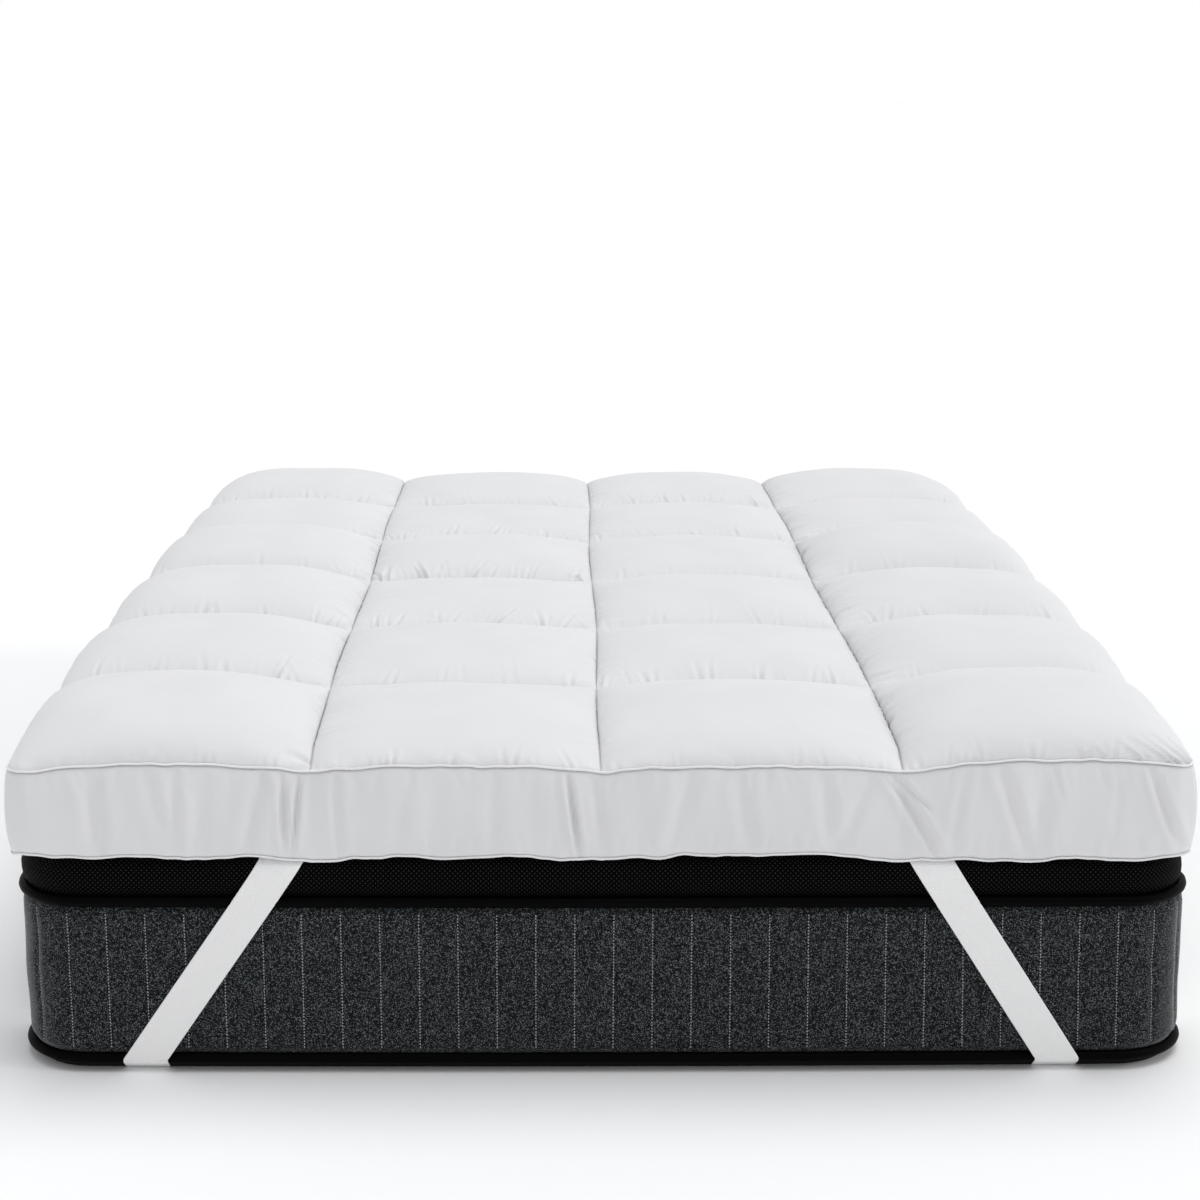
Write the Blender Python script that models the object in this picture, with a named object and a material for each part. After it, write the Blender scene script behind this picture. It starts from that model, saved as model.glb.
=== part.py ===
"""Quilted mattress topper with corner straps, fitted on its mattress.

Metres, +Z up. The foot of the bed faces -Y, and the origin is on the floor
under the middle of the mattress.
"""
import math

import bmesh
import bpy
from mathutils import Matrix, Vector

COLLECTION_NAME = "mattress_topper_on_mattress"
CUTTER_COLLECTION_NAME = "cutters"
GAP = 0.0003                    # left between pieces that touch
SHARP_EDGE_ANGLE = math.radians(40)

# Mattress: a bottom panel, a border and a top band, one above the other.
MATTRESS_WIDTH = 1.524
MATTRESS_LENGTH = 2.032
MATTRESS_HEIGHT = 0.291
MATTRESS_CORNER_RADIUS = 0.09
MATTRESS_BOW = 0.006            # how far its sides curve out between the corners
CORNER_STEPS = 6
SIDE_STEPS = 6
MID_SEAM_Z = 0.232
LOW_SEAM_Z = 0.018
MATTRESS_PIPING_RADIUS = 0.006
MATTRESS_PIPING_INSET = 0.0028  # its centre, inside the face of the border
MATTRESS_PIPING_ROUNDNESS = 2   # bevel resolution

# Half of the groove that a mattress piping sits in, from its middle outwards.
GROOVE = (
    {"inset": 0.011, "rise": GAP / 2},
    {"inset": 0.006, "rise": 0.0065},
    {"inset": 0.0015, "rise": 0.014},
    {"inset": 0.0, "rise": 0.024},
)
PANEL_INSET = 0.011
PANEL_CHAMFER = 0.005
BAND_TOP_EDGE = (
    {"inset": 0.0, "drop": 0.027},
    {"inset": 0.0032, "drop": 0.0145},
    {"inset": 0.010, "drop": 0.0062},
    {"inset": 0.019, "drop": 0.0016},
    {"inset": 0.028, "drop": 0.0},
)

# Topper: four columns of six boxes.
COLUMN_NAMES = ("first", "second", "third", "fourth")
COLUMNS = len(COLUMN_NAMES)
TOPPER_BOTTOM_Z = MATTRESS_HEIGHT + GAP
TOP_SEAM_Z = 0.411
TOP_SEAM_INSET = 0.012          # inside the faces of the mattress
LOW_SEAM_INSET = 0.0075
FLAT_INSET = 0.015              # the edge of the flat bottom, inside the same faces
HALF_WIDTH = MATTRESS_WIDTH / 2 - TOP_SEAM_INSET
HALF_LENGTH = MATTRESS_LENGTH / 2 - TOP_SEAM_INSET
TOPPER_CORNER_RADIUS = 0.028

# Cuts across one box, as shares of its width and of its length.
CUTS_ACROSS = (0.0, 0.03, 0.08, 0.18, 0.34, 0.5, 0.66, 0.82, 0.92, 0.97)
CUTS_ALONG = (0.0, 0.04, 0.13, 0.32, 0.5, 0.68, 0.87, 0.96)

# Where each long seam runs at the foot and at the head of the topper.
LONG_SEAMS = (
    {"foot_x": -0.374, "head_x": -0.392},
    {"foot_x": -0.004, "head_x": 0.001},
    {"foot_x": 0.381, "head_x": 0.376},
)
SEAM_WANDER = 0.003             # sideways
WANDER_PER_ROW = 2.1            # radians
WANDER_PER_SEAM = 1.7
CHANNEL_DEPTH = 0.016           # a long seam, below the height of the top seam
CHANNEL_RUN_OUT = 0.06          # the length over which it climbs to the edge
CROSS_SEAM_RISE = 0.008         # a cross seam, above the height of the top seam

# Height of each box above the top seam, a row of boxes at a time from the foot.
CROWNS = (
    {"first": 0.062, "second": 0.039, "third": 0.048, "fourth": 0.070},
    {"first": 0.061, "second": 0.042, "third": 0.042, "fourth": 0.061},
    {"first": 0.063, "second": 0.035, "third": 0.045, "fourth": 0.060},
    {"first": 0.066, "second": 0.044, "third": 0.042, "fourth": 0.072},
    {"first": 0.048, "second": 0.032, "third": 0.039, "fourth": 0.050},
    {"first": 0.048, "second": 0.038, "third": 0.040, "fourth": 0.050},
)
ROWS = len(CROWNS)
FULL_SHAPE = {"power": 3.0, "root": 0.55}      # steep sides and a broad crown
SOFT_SHAPE = {"power": 2.5, "root": 0.7}       # gentler, towards a cross seam

# Boxing wall between the two seams.
WALL_LEVELS = (0.07, 0.28, 0.6, 0.93)          # shares of the way down
WALL_BULGE = 0.0065
WALL_BULGE_AT_SEAM = 0.002
WALL_ROUNDNESS = 0.6
SIDE_DRAW_IN = 0.007            # the top seam, where a cross seam meets it
END_DRAW_IN = 0.004             # the top seam, where a long seam meets it
DRAW_IN_REACH = 0.14
SEAM_DIP = 0.006                # top and low seam, where an inner seam meets them

# How far the two seams of the foot rise in the middle of each column of boxes.
TOP_LIFTS = {"first": 0.002, "second": 0.0, "third": -0.001, "fourth": 0.010}
LOW_LIFTS = {"first": 0.0, "second": 0.0, "third": 0.003, "fourth": -0.004}
TUCK_DEPTH = 0.004              # the fold in the wall below each long seam
TUCK_HALF_WIDTH = 0.007
TUCK_LIP_OFFSET = 0.013
TUCK_LIP_SHARE = 0.7

# Uneven run of the seams and of the quilted top.
TOP_WAVE = 0.0012
LOW_WAVE = 0.0012
LONG_WAVELENGTH = 0.33
SHORT_WAVELENGTH = 0.147
LONG_SHARE = 0.6
WAVE_SLANT = 0.9

TOPPER_PIPING_RADIUS = 0.003
TOPPER_PIPING_OUTSET = 0.0033
TOPPER_PIPING_OFFSET_Z = 0.0012
TOPPER_PIPING_ROUNDNESS = 1

# Corner straps: |x| of the middle of each at the topper and at the bottom of the mattress.
STRAPS = (
    {"name": "strap_foot_left", "side": -1, "end": -1, "top_x": 0.407, "low_x": 0.590},
    {"name": "strap_foot_right", "side": 1, "end": -1, "top_x": 0.415, "low_x": 0.590},
    {"name": "strap_head_left", "side": -1, "end": 1, "top_x": 0.425, "low_x": 0.604},
    {"name": "strap_head_right", "side": 1, "end": 1, "top_x": 0.425, "low_x": 0.604},
)
STRAP_HALF_SPAN = 0.029         # half of a 48 mm strap, measured along the mattress edge
STRAP_THICKNESS = 0.0015
STRAP_START_INSET = 0.018       # under the topper, on the rounded edge of the mattress
STRAP_SAG = 0.0015              # towards the border, between the two pipings
WRAP_STEPS = 3
UNDERSIDE_INSET = 0.0134        # where it meets the floor side of the mattress
UNDERSIDE_STEPS = 4
TROUGH_DEPTH = STRAP_THICKNESS + 2 * GAP
TROUGH_WIDTH = 0.046
TROUGH_LENGTH = 0.6
TROUGH_CUTTER_HEIGHT = 0.02

MATERIALS = {
    "topper_cloth": {"rgb": (0.86, 0.87, 0.89), "roughness": 0.85},
    "topper_piping": {"rgb": (0.90, 0.91, 0.93), "roughness": 0.8},
    "strap_elastic": {"rgb": (0.80, 0.80, 0.81), "roughness": 0.75},
    "border_cloth": {"rgb": (0.045, 0.055, 0.068), "roughness": 0.9},
    "mesh_band": {"rgb": (0.008, 0.008, 0.009), "roughness": 0.7},
    "mattress_piping": {"rgb": (0.006, 0.006, 0.007), "roughness": 0.6},
    "bottom_cloth": {"rgb": (0.012, 0.012, 0.013), "roughness": 0.9},
}


def clear_scene():
    for old in list(bpy.data.objects):
        bpy.data.objects.remove(old, do_unlink=True)


def new_collection(name):
    collection = bpy.data.collections.new(name)
    bpy.context.scene.collection.children.link(collection)
    return collection


def make_material(name):
    material = bpy.data.materials.new(name)
    material.use_nodes = True
    shader = material.node_tree.nodes["Principled BSDF"]
    shader.inputs["Base Color"].default_value = (*MATERIALS[name]["rgb"], 1.0)
    shader.inputs["Roughness"].default_value = MATERIALS[name]["roughness"]
    shader.inputs["Metallic"].default_value = 0.0
    return material


def add_part(name, data, material, collection, root):
    data.materials.append(material)
    part = bpy.data.objects.new(name, data)
    collection.objects.link(part)
    part.parent = root
    return part


def finished_mesh(bm, name):
    bmesh.ops.recalc_face_normals(bm, faces=bm.faces)
    mesh = bpy.data.meshes.new(name)
    bm.to_mesh(mesh)
    bm.free()
    mesh.shade_smooth()
    mesh.set_sharp_from_angle(angle=SHARP_EDGE_ANGLE)
    return mesh


def new_ring(bm, points):
    return [bm.verts.new(point) for point in points]


def join_rings(bm, upper, lower):
    for here in range(len(upper)):
        after = (here + 1) % len(upper)
        bm.faces.new((upper[here], upper[after], lower[after], lower[here]))


def loft(name, sections):
    """A closed body through a list of sections with equal numbers of points."""
    bm = bmesh.new()
    rings = [new_ring(bm, section) for section in sections]
    for upper, lower in zip(rings, rings[1:]):
        join_rings(bm, upper, lower)
    bm.faces.new(rings[0])
    bm.faces.new(rings[-1])
    return finished_mesh(bm, name)


def piping_loop(name, points, radius, resolution):
    """A closed round cord through the points."""
    curve = bpy.data.curves.new(name, "CURVE")
    curve.dimensions = "3D"
    curve.fill_mode = "FULL"
    curve.bevel_depth = radius
    curve.bevel_resolution = resolution
    spline = curve.splines.new("POLY")
    spline.points.add(len(points) - 1)
    for control, point in zip(spline.points, points):
        control.co = (*point, 1.0)
    spline.use_cyclic_u = True
    return curve


def blend(first, second, share):
    return first + (second - first) * share


def ease(share):
    share = min(max(share, 0.0), 1.0)
    return share * share * (3 - 2 * share)


def crowned(share, shape):
    """0 at both ends of a box and 1 in its middle."""
    from_middle = abs(2 * share - 1)
    return max(0.0, 1 - from_middle ** shape["power"]) ** shape["root"]


# Mattress.

def bowed(x, y):
    """A point of the mattress outline, moved so that the sides curve out a little."""
    across = x / (MATTRESS_WIDTH / 2)
    along = y / (MATTRESS_LENGTH / 2)
    return x - MATTRESS_BOW * across * along ** 2, y - MATTRESS_BOW * along * across ** 2


def mattress_outline(inset):
    """The plan outline, counter-clockwise, moved in by the inset."""
    radius = MATTRESS_CORNER_RADIUS - inset
    middle_x = MATTRESS_WIDTH / 2 - MATTRESS_CORNER_RADIUS
    middle_y = MATTRESS_LENGTH / 2 - MATTRESS_CORNER_RADIUS
    arcs = []
    for side, end, start in ((1, -1, -90), (1, 1, 0), (-1, 1, 90), (-1, -1, 180)):
        angles = [math.radians(start + 90 * step / CORNER_STEPS) for step in range(CORNER_STEPS + 1)]
        centre = Vector((side * middle_x, end * middle_y))
        arcs.append([centre + radius * Vector((math.cos(a), math.sin(a))) for a in angles])
    points = []
    for arc, next_arc in zip(arcs, arcs[1:] + arcs[:1]):
        points += arc
        points += [arc[-1].lerp(next_arc[0], step / SIDE_STEPS) for step in range(1, SIDE_STEPS)]
    return [bowed(*point) for point in points]


def stacked_body(name, levels):
    """A closed body whose plan outline changes from level to level."""
    sections = []
    for inset, z in levels:
        sections.append([(x, y, z) for x, y in mattress_outline(inset)])
    return loft(name, sections)


def groove_above(z):
    return [(step["inset"], z + step["rise"]) for step in GROOVE]


def groove_below(z):
    return [(step["inset"], z - step["rise"]) for step in reversed(GROOVE)]


def mattress_piping(name, z):
    points = [(x, y, z) for x, y in mattress_outline(MATTRESS_PIPING_INSET)]
    return piping_loop(name, points, MATTRESS_PIPING_RADIUS, MATTRESS_PIPING_ROUNDNESS)


def build_mattress(add):
    add("mattress_border", "border_cloth", stacked_body(
        "mattress_border", groove_above(LOW_SEAM_Z) + groove_below(MID_SEAM_Z)))
    band_top = [(step["inset"], MATTRESS_HEIGHT - step["drop"]) for step in BAND_TOP_EDGE]
    add("mattress_top_band", "mesh_band", stacked_body(
        "mattress_top_band", groove_above(MID_SEAM_Z) + band_top))
    add("mattress_mid_piping", "mattress_piping", mattress_piping("mattress_mid_piping", MID_SEAM_Z))
    add("mattress_low_piping", "mattress_piping", mattress_piping("mattress_low_piping", LOW_SEAM_Z))
    return add("mattress_bottom_panel", "bottom_cloth", stacked_body("mattress_bottom_panel", (
        (PANEL_INSET + PANEL_CHAMFER, 0.0),
        (PANEL_INSET, PANEL_CHAMFER),
        (PANEL_INSET, LOW_SEAM_Z - GAP / 2),
    )))


# Topper.

def wave(x, y, size, shift):
    """A slow unevenness that runs on round the corners."""
    long_part = math.sin(2 * math.pi * (x + WAVE_SLANT * y) / LONG_WAVELENGTH + shift)
    short_part = math.sin(2 * math.pi * (x - y) / SHORT_WAVELENGTH + 2 * shift)
    return size * blend(short_part, long_part, LONG_SHARE)


def long_seam_x(number, t):
    """x of a long seam, or of the topper's side, at t rows from the foot."""
    if number in (0, COLUMNS):
        return -HALF_WIDTH if number == 0 else HALF_WIDTH
    seam = LONG_SEAMS[number - 1]
    wander = SEAM_WANDER * math.sin(WANDER_PER_ROW * t + WANDER_PER_SEAM * number)
    return blend(seam["foot_x"], seam["head_x"], t / ROWS) + wander


def rounded_plan(s, t):
    """Plan point at s columns and t rows, inside the outline with its round corners."""
    column = min(int(s), COLUMNS - 1)
    x = blend(long_seam_x(column, t), long_seam_x(column + 1, t), s - column)
    y = blend(-HALF_LENGTH, HALF_LENGTH, t / ROWS)
    straight_x = HALF_WIDTH - TOPPER_CORNER_RADIUS
    straight_y = HALF_LENGTH - TOPPER_CORNER_RADIUS
    a = (abs(x) - straight_x) / TOPPER_CORNER_RADIUS
    b = (abs(y) - straight_y) / TOPPER_CORNER_RADIUS
    if a > 0 and b > 0:
        round_a = a * math.sqrt(1 - b * b / 2)
        round_b = b * math.sqrt(1 - a * a / 2)
        x = math.copysign(straight_x + round_a * TOPPER_CORNER_RADIUS, x)
        y = math.copysign(straight_y + round_b * TOPPER_CORNER_RADIUS, y)
    return Vector((x, y))


def seam_pull(position, count):
    """1 where an inner seam ends on the outline, 0 in the middle of a box and at a corner."""
    box = min(int(position), count - 1)
    share = position - box
    at_corner = (box == 0 and share < 0.5) or (box == count - 1 and share > 0.5)
    return 0.0 if at_corner else 1 - crowned(share, SOFT_SHAPE)


def top_plan(s, t):
    """Plan point of the quilted top, drawn in where the inner seams reach the outline."""
    point = rounded_plan(s, t)
    near_side = ease(1 - (HALF_WIDTH - abs(point.x)) / DRAW_IN_REACH)
    near_end = ease(1 - (HALF_LENGTH - abs(point.y)) / DRAW_IN_REACH)
    point.x -= math.copysign(SIDE_DRAW_IN * seam_pull(t, ROWS) * near_side, point.x)
    point.y -= math.copysign(END_DRAW_IN * seam_pull(s, COLUMNS) * near_end, point.y)
    return point


def seam_level(s, t, lifts):
    """How far the top or low seam lies above its usual height, at a point of the outline."""
    if t in (0.0, float(ROWS)):
        column = min(int(s), COLUMNS - 1)
        lift = lifts[COLUMN_NAMES[column]] if t == 0.0 else 0.0
        return lift * crowned(s - column, SOFT_SHAPE) - SEAM_DIP * seam_pull(s, COLUMNS)
    return -SEAM_DIP * seam_pull(t, ROWS)


def top_height(s, t, plan):
    """Height of the quilted top: crowned boxes, deep long channels and shallow cross seams."""
    column = min(int(s), COLUMNS - 1)
    row = min(int(t), ROWS - 1)
    u = s - column
    v = t - row
    run_out = ease((HALF_LENGTH - abs(plan.y)) / CHANNEL_RUN_OUT)
    channel = blend(-SEAM_DIP, -CHANNEL_DEPTH, run_out)
    left = seam_level(0.0, t, TOP_LIFTS) if column == 0 else channel
    right = seam_level(float(COLUMNS), t, TOP_LIFTS) if column == COLUMNS - 1 else channel
    end = seam_level(s, 0.0 if row == 0 else float(ROWS), TOP_LIFTS)
    foot = end if row == 0 else CROSS_SEAM_RISE
    head = end if row == ROWS - 1 else CROSS_SEAM_RISE
    outer_half = (row == 0 and v < 0.5) or (row == ROWS - 1 and v > 0.5)
    along = crowned(v, FULL_SHAPE if outer_half else SOFT_SHAPE)
    side_level = blend(left, right, ease(u))
    end_level = blend(foot, head, ease(v))
    crown = CROWNS[row][COLUMN_NAMES[column]]
    rise = end_level - side_level + along * (crown - end_level)
    height = side_level + crowned(u, FULL_SHAPE) * rise
    return TOP_SEAM_Z + height + wave(plan.x, plan.y, TOP_WAVE, 0.0)


def grid_positions():
    across = [column + cut for column in range(COLUMNS) for cut in CUTS_ACROSS] + [float(COLUMNS)]
    along = [row + cut for row in range(ROWS) for cut in CUTS_ALONG] + [float(ROWS)]
    return across, along


def outline_positions():
    """(s, t) all the way round, counter-clockwise from the left end of the foot."""
    across, along = grid_positions()
    foot = [(s, 0.0) for s in across[:-1]]
    right = [(float(COLUMNS), t) for t in along[:-1]]
    head = [(s, float(ROWS)) for s in reversed(across[1:])]
    left = [(0.0, t) for t in reversed(along[1:])]
    return foot + right + head + left


def seam_outline():
    """Top seam point, bottom seam point and outward direction, all the way round."""
    positions = outline_positions()
    plans = [rounded_plan(s, t) for s, t in positions]
    outline = []
    for here, (s, t) in enumerate(positions):
        along = plans[(here + 1) % len(plans)] - plans[here - 1]
        outward = Vector((along.y, -along.x, 0.0)).normalized()
        top = top_plan(s, t)
        top_point = Vector((*top, top_height(s, t, top)))
        low = plans[here].to_3d() - outward * (LOW_SEAM_INSET - TOP_SEAM_INSET)
        low.z = TOPPER_BOTTOM_Z + seam_level(s, t, LOW_LIFTS) + wave(low.x, low.y, LOW_WAVE, 1.0)
        outline.append({"s": s, "t": t, "top": top_point, "low": low, "out": outward})
    return outline


def tuck(s, t):
    """The fold of the boxing wall below a long seam, in at the seam and out beside it."""
    if 0.0 < t < ROWS or round(s) in (0, COLUMNS):
        return 0.0
    distance = abs(s - round(s)) * 2 * HALF_WIDTH / COLUMNS
    at_seam = math.exp(-(distance / TUCK_HALF_WIDTH) ** 2)
    at_lip = math.exp(-((distance - TUCK_LIP_OFFSET) / TUCK_HALF_WIDTH) ** 2)
    return TUCK_DEPTH * (TUCK_LIP_SHARE * at_lip - at_seam)


def wall_point(place, level):
    on_end = place["t"] in (0.0, float(ROWS))
    pull = seam_pull(place["s"], COLUMNS) if on_end else seam_pull(place["t"], ROWS)
    bulge = blend(WALL_BULGE, WALL_BULGE_AT_SEAM, pull) + tuck(place["s"], place["t"])
    swell = (1 - (2 * level - 1) ** 2) ** WALL_ROUNDNESS
    return place["top"].lerp(place["low"], level) + place["out"] * bulge * swell


def topper_body():
    """Quilted top, boxing wall and flat bottom as one filled solid."""
    across, along = grid_positions()
    bm = bmesh.new()
    bmesh.ops.create_grid(bm, x_segments=len(across) - 1, y_segments=len(along) - 1, size=1.0)
    grid = {}
    for vert in bm.verts:
        s = across[round((vert.co.x + 1) / 2 * (len(across) - 1))]
        t = along[round((vert.co.y + 1) / 2 * (len(along) - 1))]
        plan = top_plan(s, t)
        vert.co = (*plan, top_height(s, t, plan))
        grid[s, t] = vert
    outline = seam_outline()
    ring = [grid[place["s"], place["t"]] for place in outline]
    flat_inset = FLAT_INSET - LOW_SEAM_INSET
    levels = [[wall_point(place, level) for place in outline] for level in WALL_LEVELS]
    levels.append([place["low"] for place in outline])
    levels.append([(*(place["low"] - place["out"] * flat_inset).xy, TOPPER_BOTTOM_Z) for place in outline])
    for points in levels:
        next_ring = new_ring(bm, points)
        join_rings(bm, ring, next_ring)
        ring = next_ring
    bm.faces.new(ring)
    return finished_mesh(bm, "topper_body")


def build_topper(add):
    add("topper_body", "topper_cloth", topper_body())
    for name, seam, lift in (
            ("topper_top_piping", "top", TOPPER_PIPING_OFFSET_Z),
            ("topper_bottom_piping", "low", -TOPPER_PIPING_OFFSET_Z)):
        points = []
        for place in seam_outline():
            points.append(place[seam] + place["out"] * TOPPER_PIPING_OUTSET + Vector((0.0, 0.0, lift)))
        cord = piping_loop(name, points, TOPPER_PIPING_RADIUS, TOPPER_PIPING_ROUNDNESS)
        add(name, "topper_piping", cord)


# Corner straps.

def band_edge_drop(inset):
    """How far the rounded top edge of the mattress lies below its top."""
    for outer, inner in zip(BAND_TOP_EDGE, BAND_TOP_EDGE[1:]):
        if outer["inset"] <= inset <= inner["inset"]:
            share = (inset - outer["inset"]) / (inner["inset"] - outer["inset"])
            return blend(outer["drop"], inner["drop"], share)
    return 0.0


def strap_bed():
    """The line, as outset and height, of what half a strap lies on, from its top end."""
    bed = [Vector((-STRAP_START_INSET, MATTRESS_HEIGHT - band_edge_drop(STRAP_START_INSET)))]
    for step in reversed(BAND_TOP_EDGE):
        if step["inset"] < STRAP_START_INSET:
            bed.append(Vector((-step["inset"], MATTRESS_HEIGHT - step["drop"])))
    piping_face = MATTRESS_PIPING_RADIUS - MATTRESS_PIPING_INSET
    bed.append(Vector((piping_face, MID_SEAM_Z)))
    bed.append(Vector((piping_face - STRAP_SAG, (MID_SEAM_Z + LOW_SEAM_Z) / 2)))
    low_piping = Vector((-MATTRESS_PIPING_INSET, LOW_SEAM_Z))
    landing = Vector((-UNDERSIDE_INSET, TROUGH_DEPTH))
    away = landing - low_piping
    wrap_end = math.atan2(-away.y, away.x) - math.acos(MATTRESS_PIPING_RADIUS / away.length)
    for step in range(WRAP_STEPS + 1):
        angle = wrap_end * step / WRAP_STEPS
        bed.append(low_piping + MATTRESS_PIPING_RADIUS * Vector((math.cos(angle), -math.sin(angle))))
    return bed + [landing]


def moved_out(line, distance):
    """The line moved out by a distance; after its last point it runs on level, inwards."""
    line = line + [line[-1] + Vector((-1.0, 0.0))]
    moved = []
    for here, point in enumerate(line[:-1]):
        after = (line[here + 1] - point).normalized()
        before = (point - line[here - 1]).normalized() if here else after
        out_before = Vector((-before.y, before.x))
        out_after = Vector((-after.y, after.x))
        moved.append(point + distance * (out_before + out_after) / (1 + out_before.dot(out_after)))
    return moved


def on_end(strap, from_corner, outset, z):
    """A point outside the foot or head face of the mattress."""
    x = strap["side"] * (MATTRESS_WIDTH / 2 - from_corner)
    face_y = bowed(x, strap["end"] * MATTRESS_LENGTH / 2)[1]
    return Vector((x, face_y + strap["end"] * outset, z))


def on_side(strap, from_corner, outset, z):
    """A point outside the left or right face of the mattress."""
    y = strap["end"] * (MATTRESS_LENGTH / 2 - from_corner)
    face_x = bowed(strap["side"] * MATTRESS_WIDTH / 2, y)[0]
    return Vector((face_x + strap["side"] * outset, y, z))


def strap_mesh(strap):
    """Down one face, under the corner and up the other face."""
    bed = strap_bed()
    inner = moved_out(bed, GAP)
    outer = moved_out(bed, GAP + STRAP_THICKNESS)
    top_from = MATTRESS_WIDTH / 2 - strap["top_x"]
    low_from = MATTRESS_WIDTH / 2 - strap["low_x"]
    halves = []
    for place in (on_end, on_side):
        half = []
        for bed_point, near_bed, away in zip(bed, inner, outer):
            share = min((bed[0].y - bed_point.y) / (bed[0].y - LOW_SEAM_Z), 1.0)
            middle = blend(top_from, low_from, share)
            half.append([place(strap, middle + span, *point) for span, point in (
                (-STRAP_HALF_SPAN, near_bed),
                (STRAP_HALF_SPAN, near_bed),
                (STRAP_HALF_SPAN, away),
                (-STRAP_HALF_SPAN, away),
            )])
        halves.append(half)
    under = []
    for step in range(1, UNDERSIDE_STEPS):
        share = step / UNDERSIDE_STEPS
        under.append([a.lerp(b, share) for a, b in zip(halves[0][-1], halves[1][-1])])
    return loft(strap["name"], halves[0] + under + halves[1][::-1])


def cut_trough(panel, strap, cutters):
    """A shallow channel under one corner, where the strap lies in the soft bottom."""
    low_from = MATTRESS_WIDTH / 2 - strap["low_x"]
    start = on_end(strap, low_from, -UNDERSIDE_INSET, 0.0)
    stop = on_side(strap, low_from, -UNDERSIDE_INSET, 0.0)
    name = strap["name"] + "_trough"
    bm = bmesh.new()
    bmesh.ops.create_cube(bm, size=1.0)
    size = Matrix.Diagonal((TROUGH_LENGTH, TROUGH_WIDTH, TROUGH_CUTTER_HEIGHT, 1.0))
    bmesh.ops.transform(bm, matrix=size, verts=bm.verts)
    cutter = bpy.data.objects.new(name, finished_mesh(bm, name))
    cutter.location = start.lerp(stop, 0.5)
    cutter.location.z = TROUGH_DEPTH - TROUGH_CUTTER_HEIGHT / 2
    cutter.rotation_euler.z = math.atan2(stop.y - start.y, stop.x - start.x)
    cutter.hide_render = True
    cutter.display_type = "WIRE"
    cutters.objects.link(cutter)
    trough = panel.modifiers.new(name, "BOOLEAN")
    trough.operation = "DIFFERENCE"
    trough.solver = "EXACT"
    trough.object = cutter


def build_straps(add):
    for strap in STRAPS:
        add(strap["name"], "strap_elastic", strap_mesh(strap))


def main():
    clear_scene()
    parts = new_collection(COLLECTION_NAME)
    cutters = new_collection(CUTTER_COLLECTION_NAME)
    materials = {name: make_material(name) for name in MATERIALS}
    root = bpy.data.objects.new("mattress_topper_root", None)
    parts.objects.link(root)

    def add(name, material, data):
        return add_part(name, data, materials[material], parts, root)

    panel = build_mattress(add)
    for strap in STRAPS:
        cut_trough(panel, strap, cutters)
    build_topper(add)
    build_straps(add)


main()
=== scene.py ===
import math
from functools import partial

import bpy
import numpy as np
from mathutils import Matrix


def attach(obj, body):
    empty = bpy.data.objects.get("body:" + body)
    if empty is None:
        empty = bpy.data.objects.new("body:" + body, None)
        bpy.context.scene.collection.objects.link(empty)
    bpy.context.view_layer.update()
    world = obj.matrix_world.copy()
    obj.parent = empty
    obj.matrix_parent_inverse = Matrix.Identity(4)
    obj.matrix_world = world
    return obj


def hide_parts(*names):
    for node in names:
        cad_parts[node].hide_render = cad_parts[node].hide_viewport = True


# Looks of a quilted mattress topper with elastic corner straps, fitted on its mattress.
# Metres, +Z up, the foot of the bed towards -Y. Each piece has its values in one dictionary beside its code.

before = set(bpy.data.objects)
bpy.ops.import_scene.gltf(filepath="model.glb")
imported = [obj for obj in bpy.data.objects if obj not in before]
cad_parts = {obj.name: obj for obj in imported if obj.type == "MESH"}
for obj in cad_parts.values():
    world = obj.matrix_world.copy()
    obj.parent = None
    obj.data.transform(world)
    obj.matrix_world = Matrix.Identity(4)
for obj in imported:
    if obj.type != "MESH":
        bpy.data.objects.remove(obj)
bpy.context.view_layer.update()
print("frame loaded:", len(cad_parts), "solids")


def linearColour(hexCode):  # an sRGB hex value as linear colour with alpha
    parts = [int(hexCode[at:at + 2], 16) / 255 for at in (1, 3, 5)]
    return [p / 12.92 if p <= 0.04045 else ((p + 0.055) / 1.055) ** 2.4 for p in parts] + [1.0]


usualNode = {  # settings and output of each kind of node, where they aren't Blender's own and the first
    "Mix": ({"data_type": "RGBA"}, 2), "MapRange": ({"interpolation_type": "SMOOTHSTEP"}, 0),
    "Math": ({"operation": "MULTIPLY"}, 0), "TexVoronoi": ({"voronoi_dimensions": "2D"}, "Color"),
    "TexNoise": ({}, "Fac"), "TexWave": ({}, "Fac"),
}


def addNode(tree, kind, inputs, output=None, **settings):
    # an input is a constant, a hex colour or another node's output; one output of the new node comes back
    node = tree.nodes.new("ShaderNode" + kind)
    usual, usualOutput = usualNode.get(kind, ({}, 0))
    for name, value in {**usual, **settings}.items():
        setattr(node, name, value)
    for name, value in inputs.items():
        if isinstance(value, bpy.types.NodeSocket):
            tree.links.new(value, node.inputs[name])
        else:
            node.inputs[name].default_value = linearColour(value) if isinstance(value, str) else value
    return node.outputs[usualOutput if output is None else output]


def newMaterial(name, **values):
    # the values are constants, set on the shader's own sockets; the material comes back with what adds its nodes
    material = bpy.data.materials.new(name)
    material.use_nodes = True
    shader = material.node_tree.nodes["Principled BSDF"]
    for socket, value in values.items():
        shader.inputs[socket.replace("_", " ")].default_value = value
    return material, partial(addNode, material.node_tree)


def finished(material, colour, *reliefs):  # a relief is a height, its depth in metres and its strength
    tree, below = material.node_tree, {}
    for height, distance, strength in reliefs:
        normal = addNode(tree, "Bump", {"Height": height, "Distance": distance, "Strength": strength, **below})
        below = {"Normal": normal}
    shader = tree.nodes["Principled BSDF"]
    tree.links.new(colour, shader.inputs["Base Color"])
    tree.links.new(normal, shader.inputs["Normal"])
    return material


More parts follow.
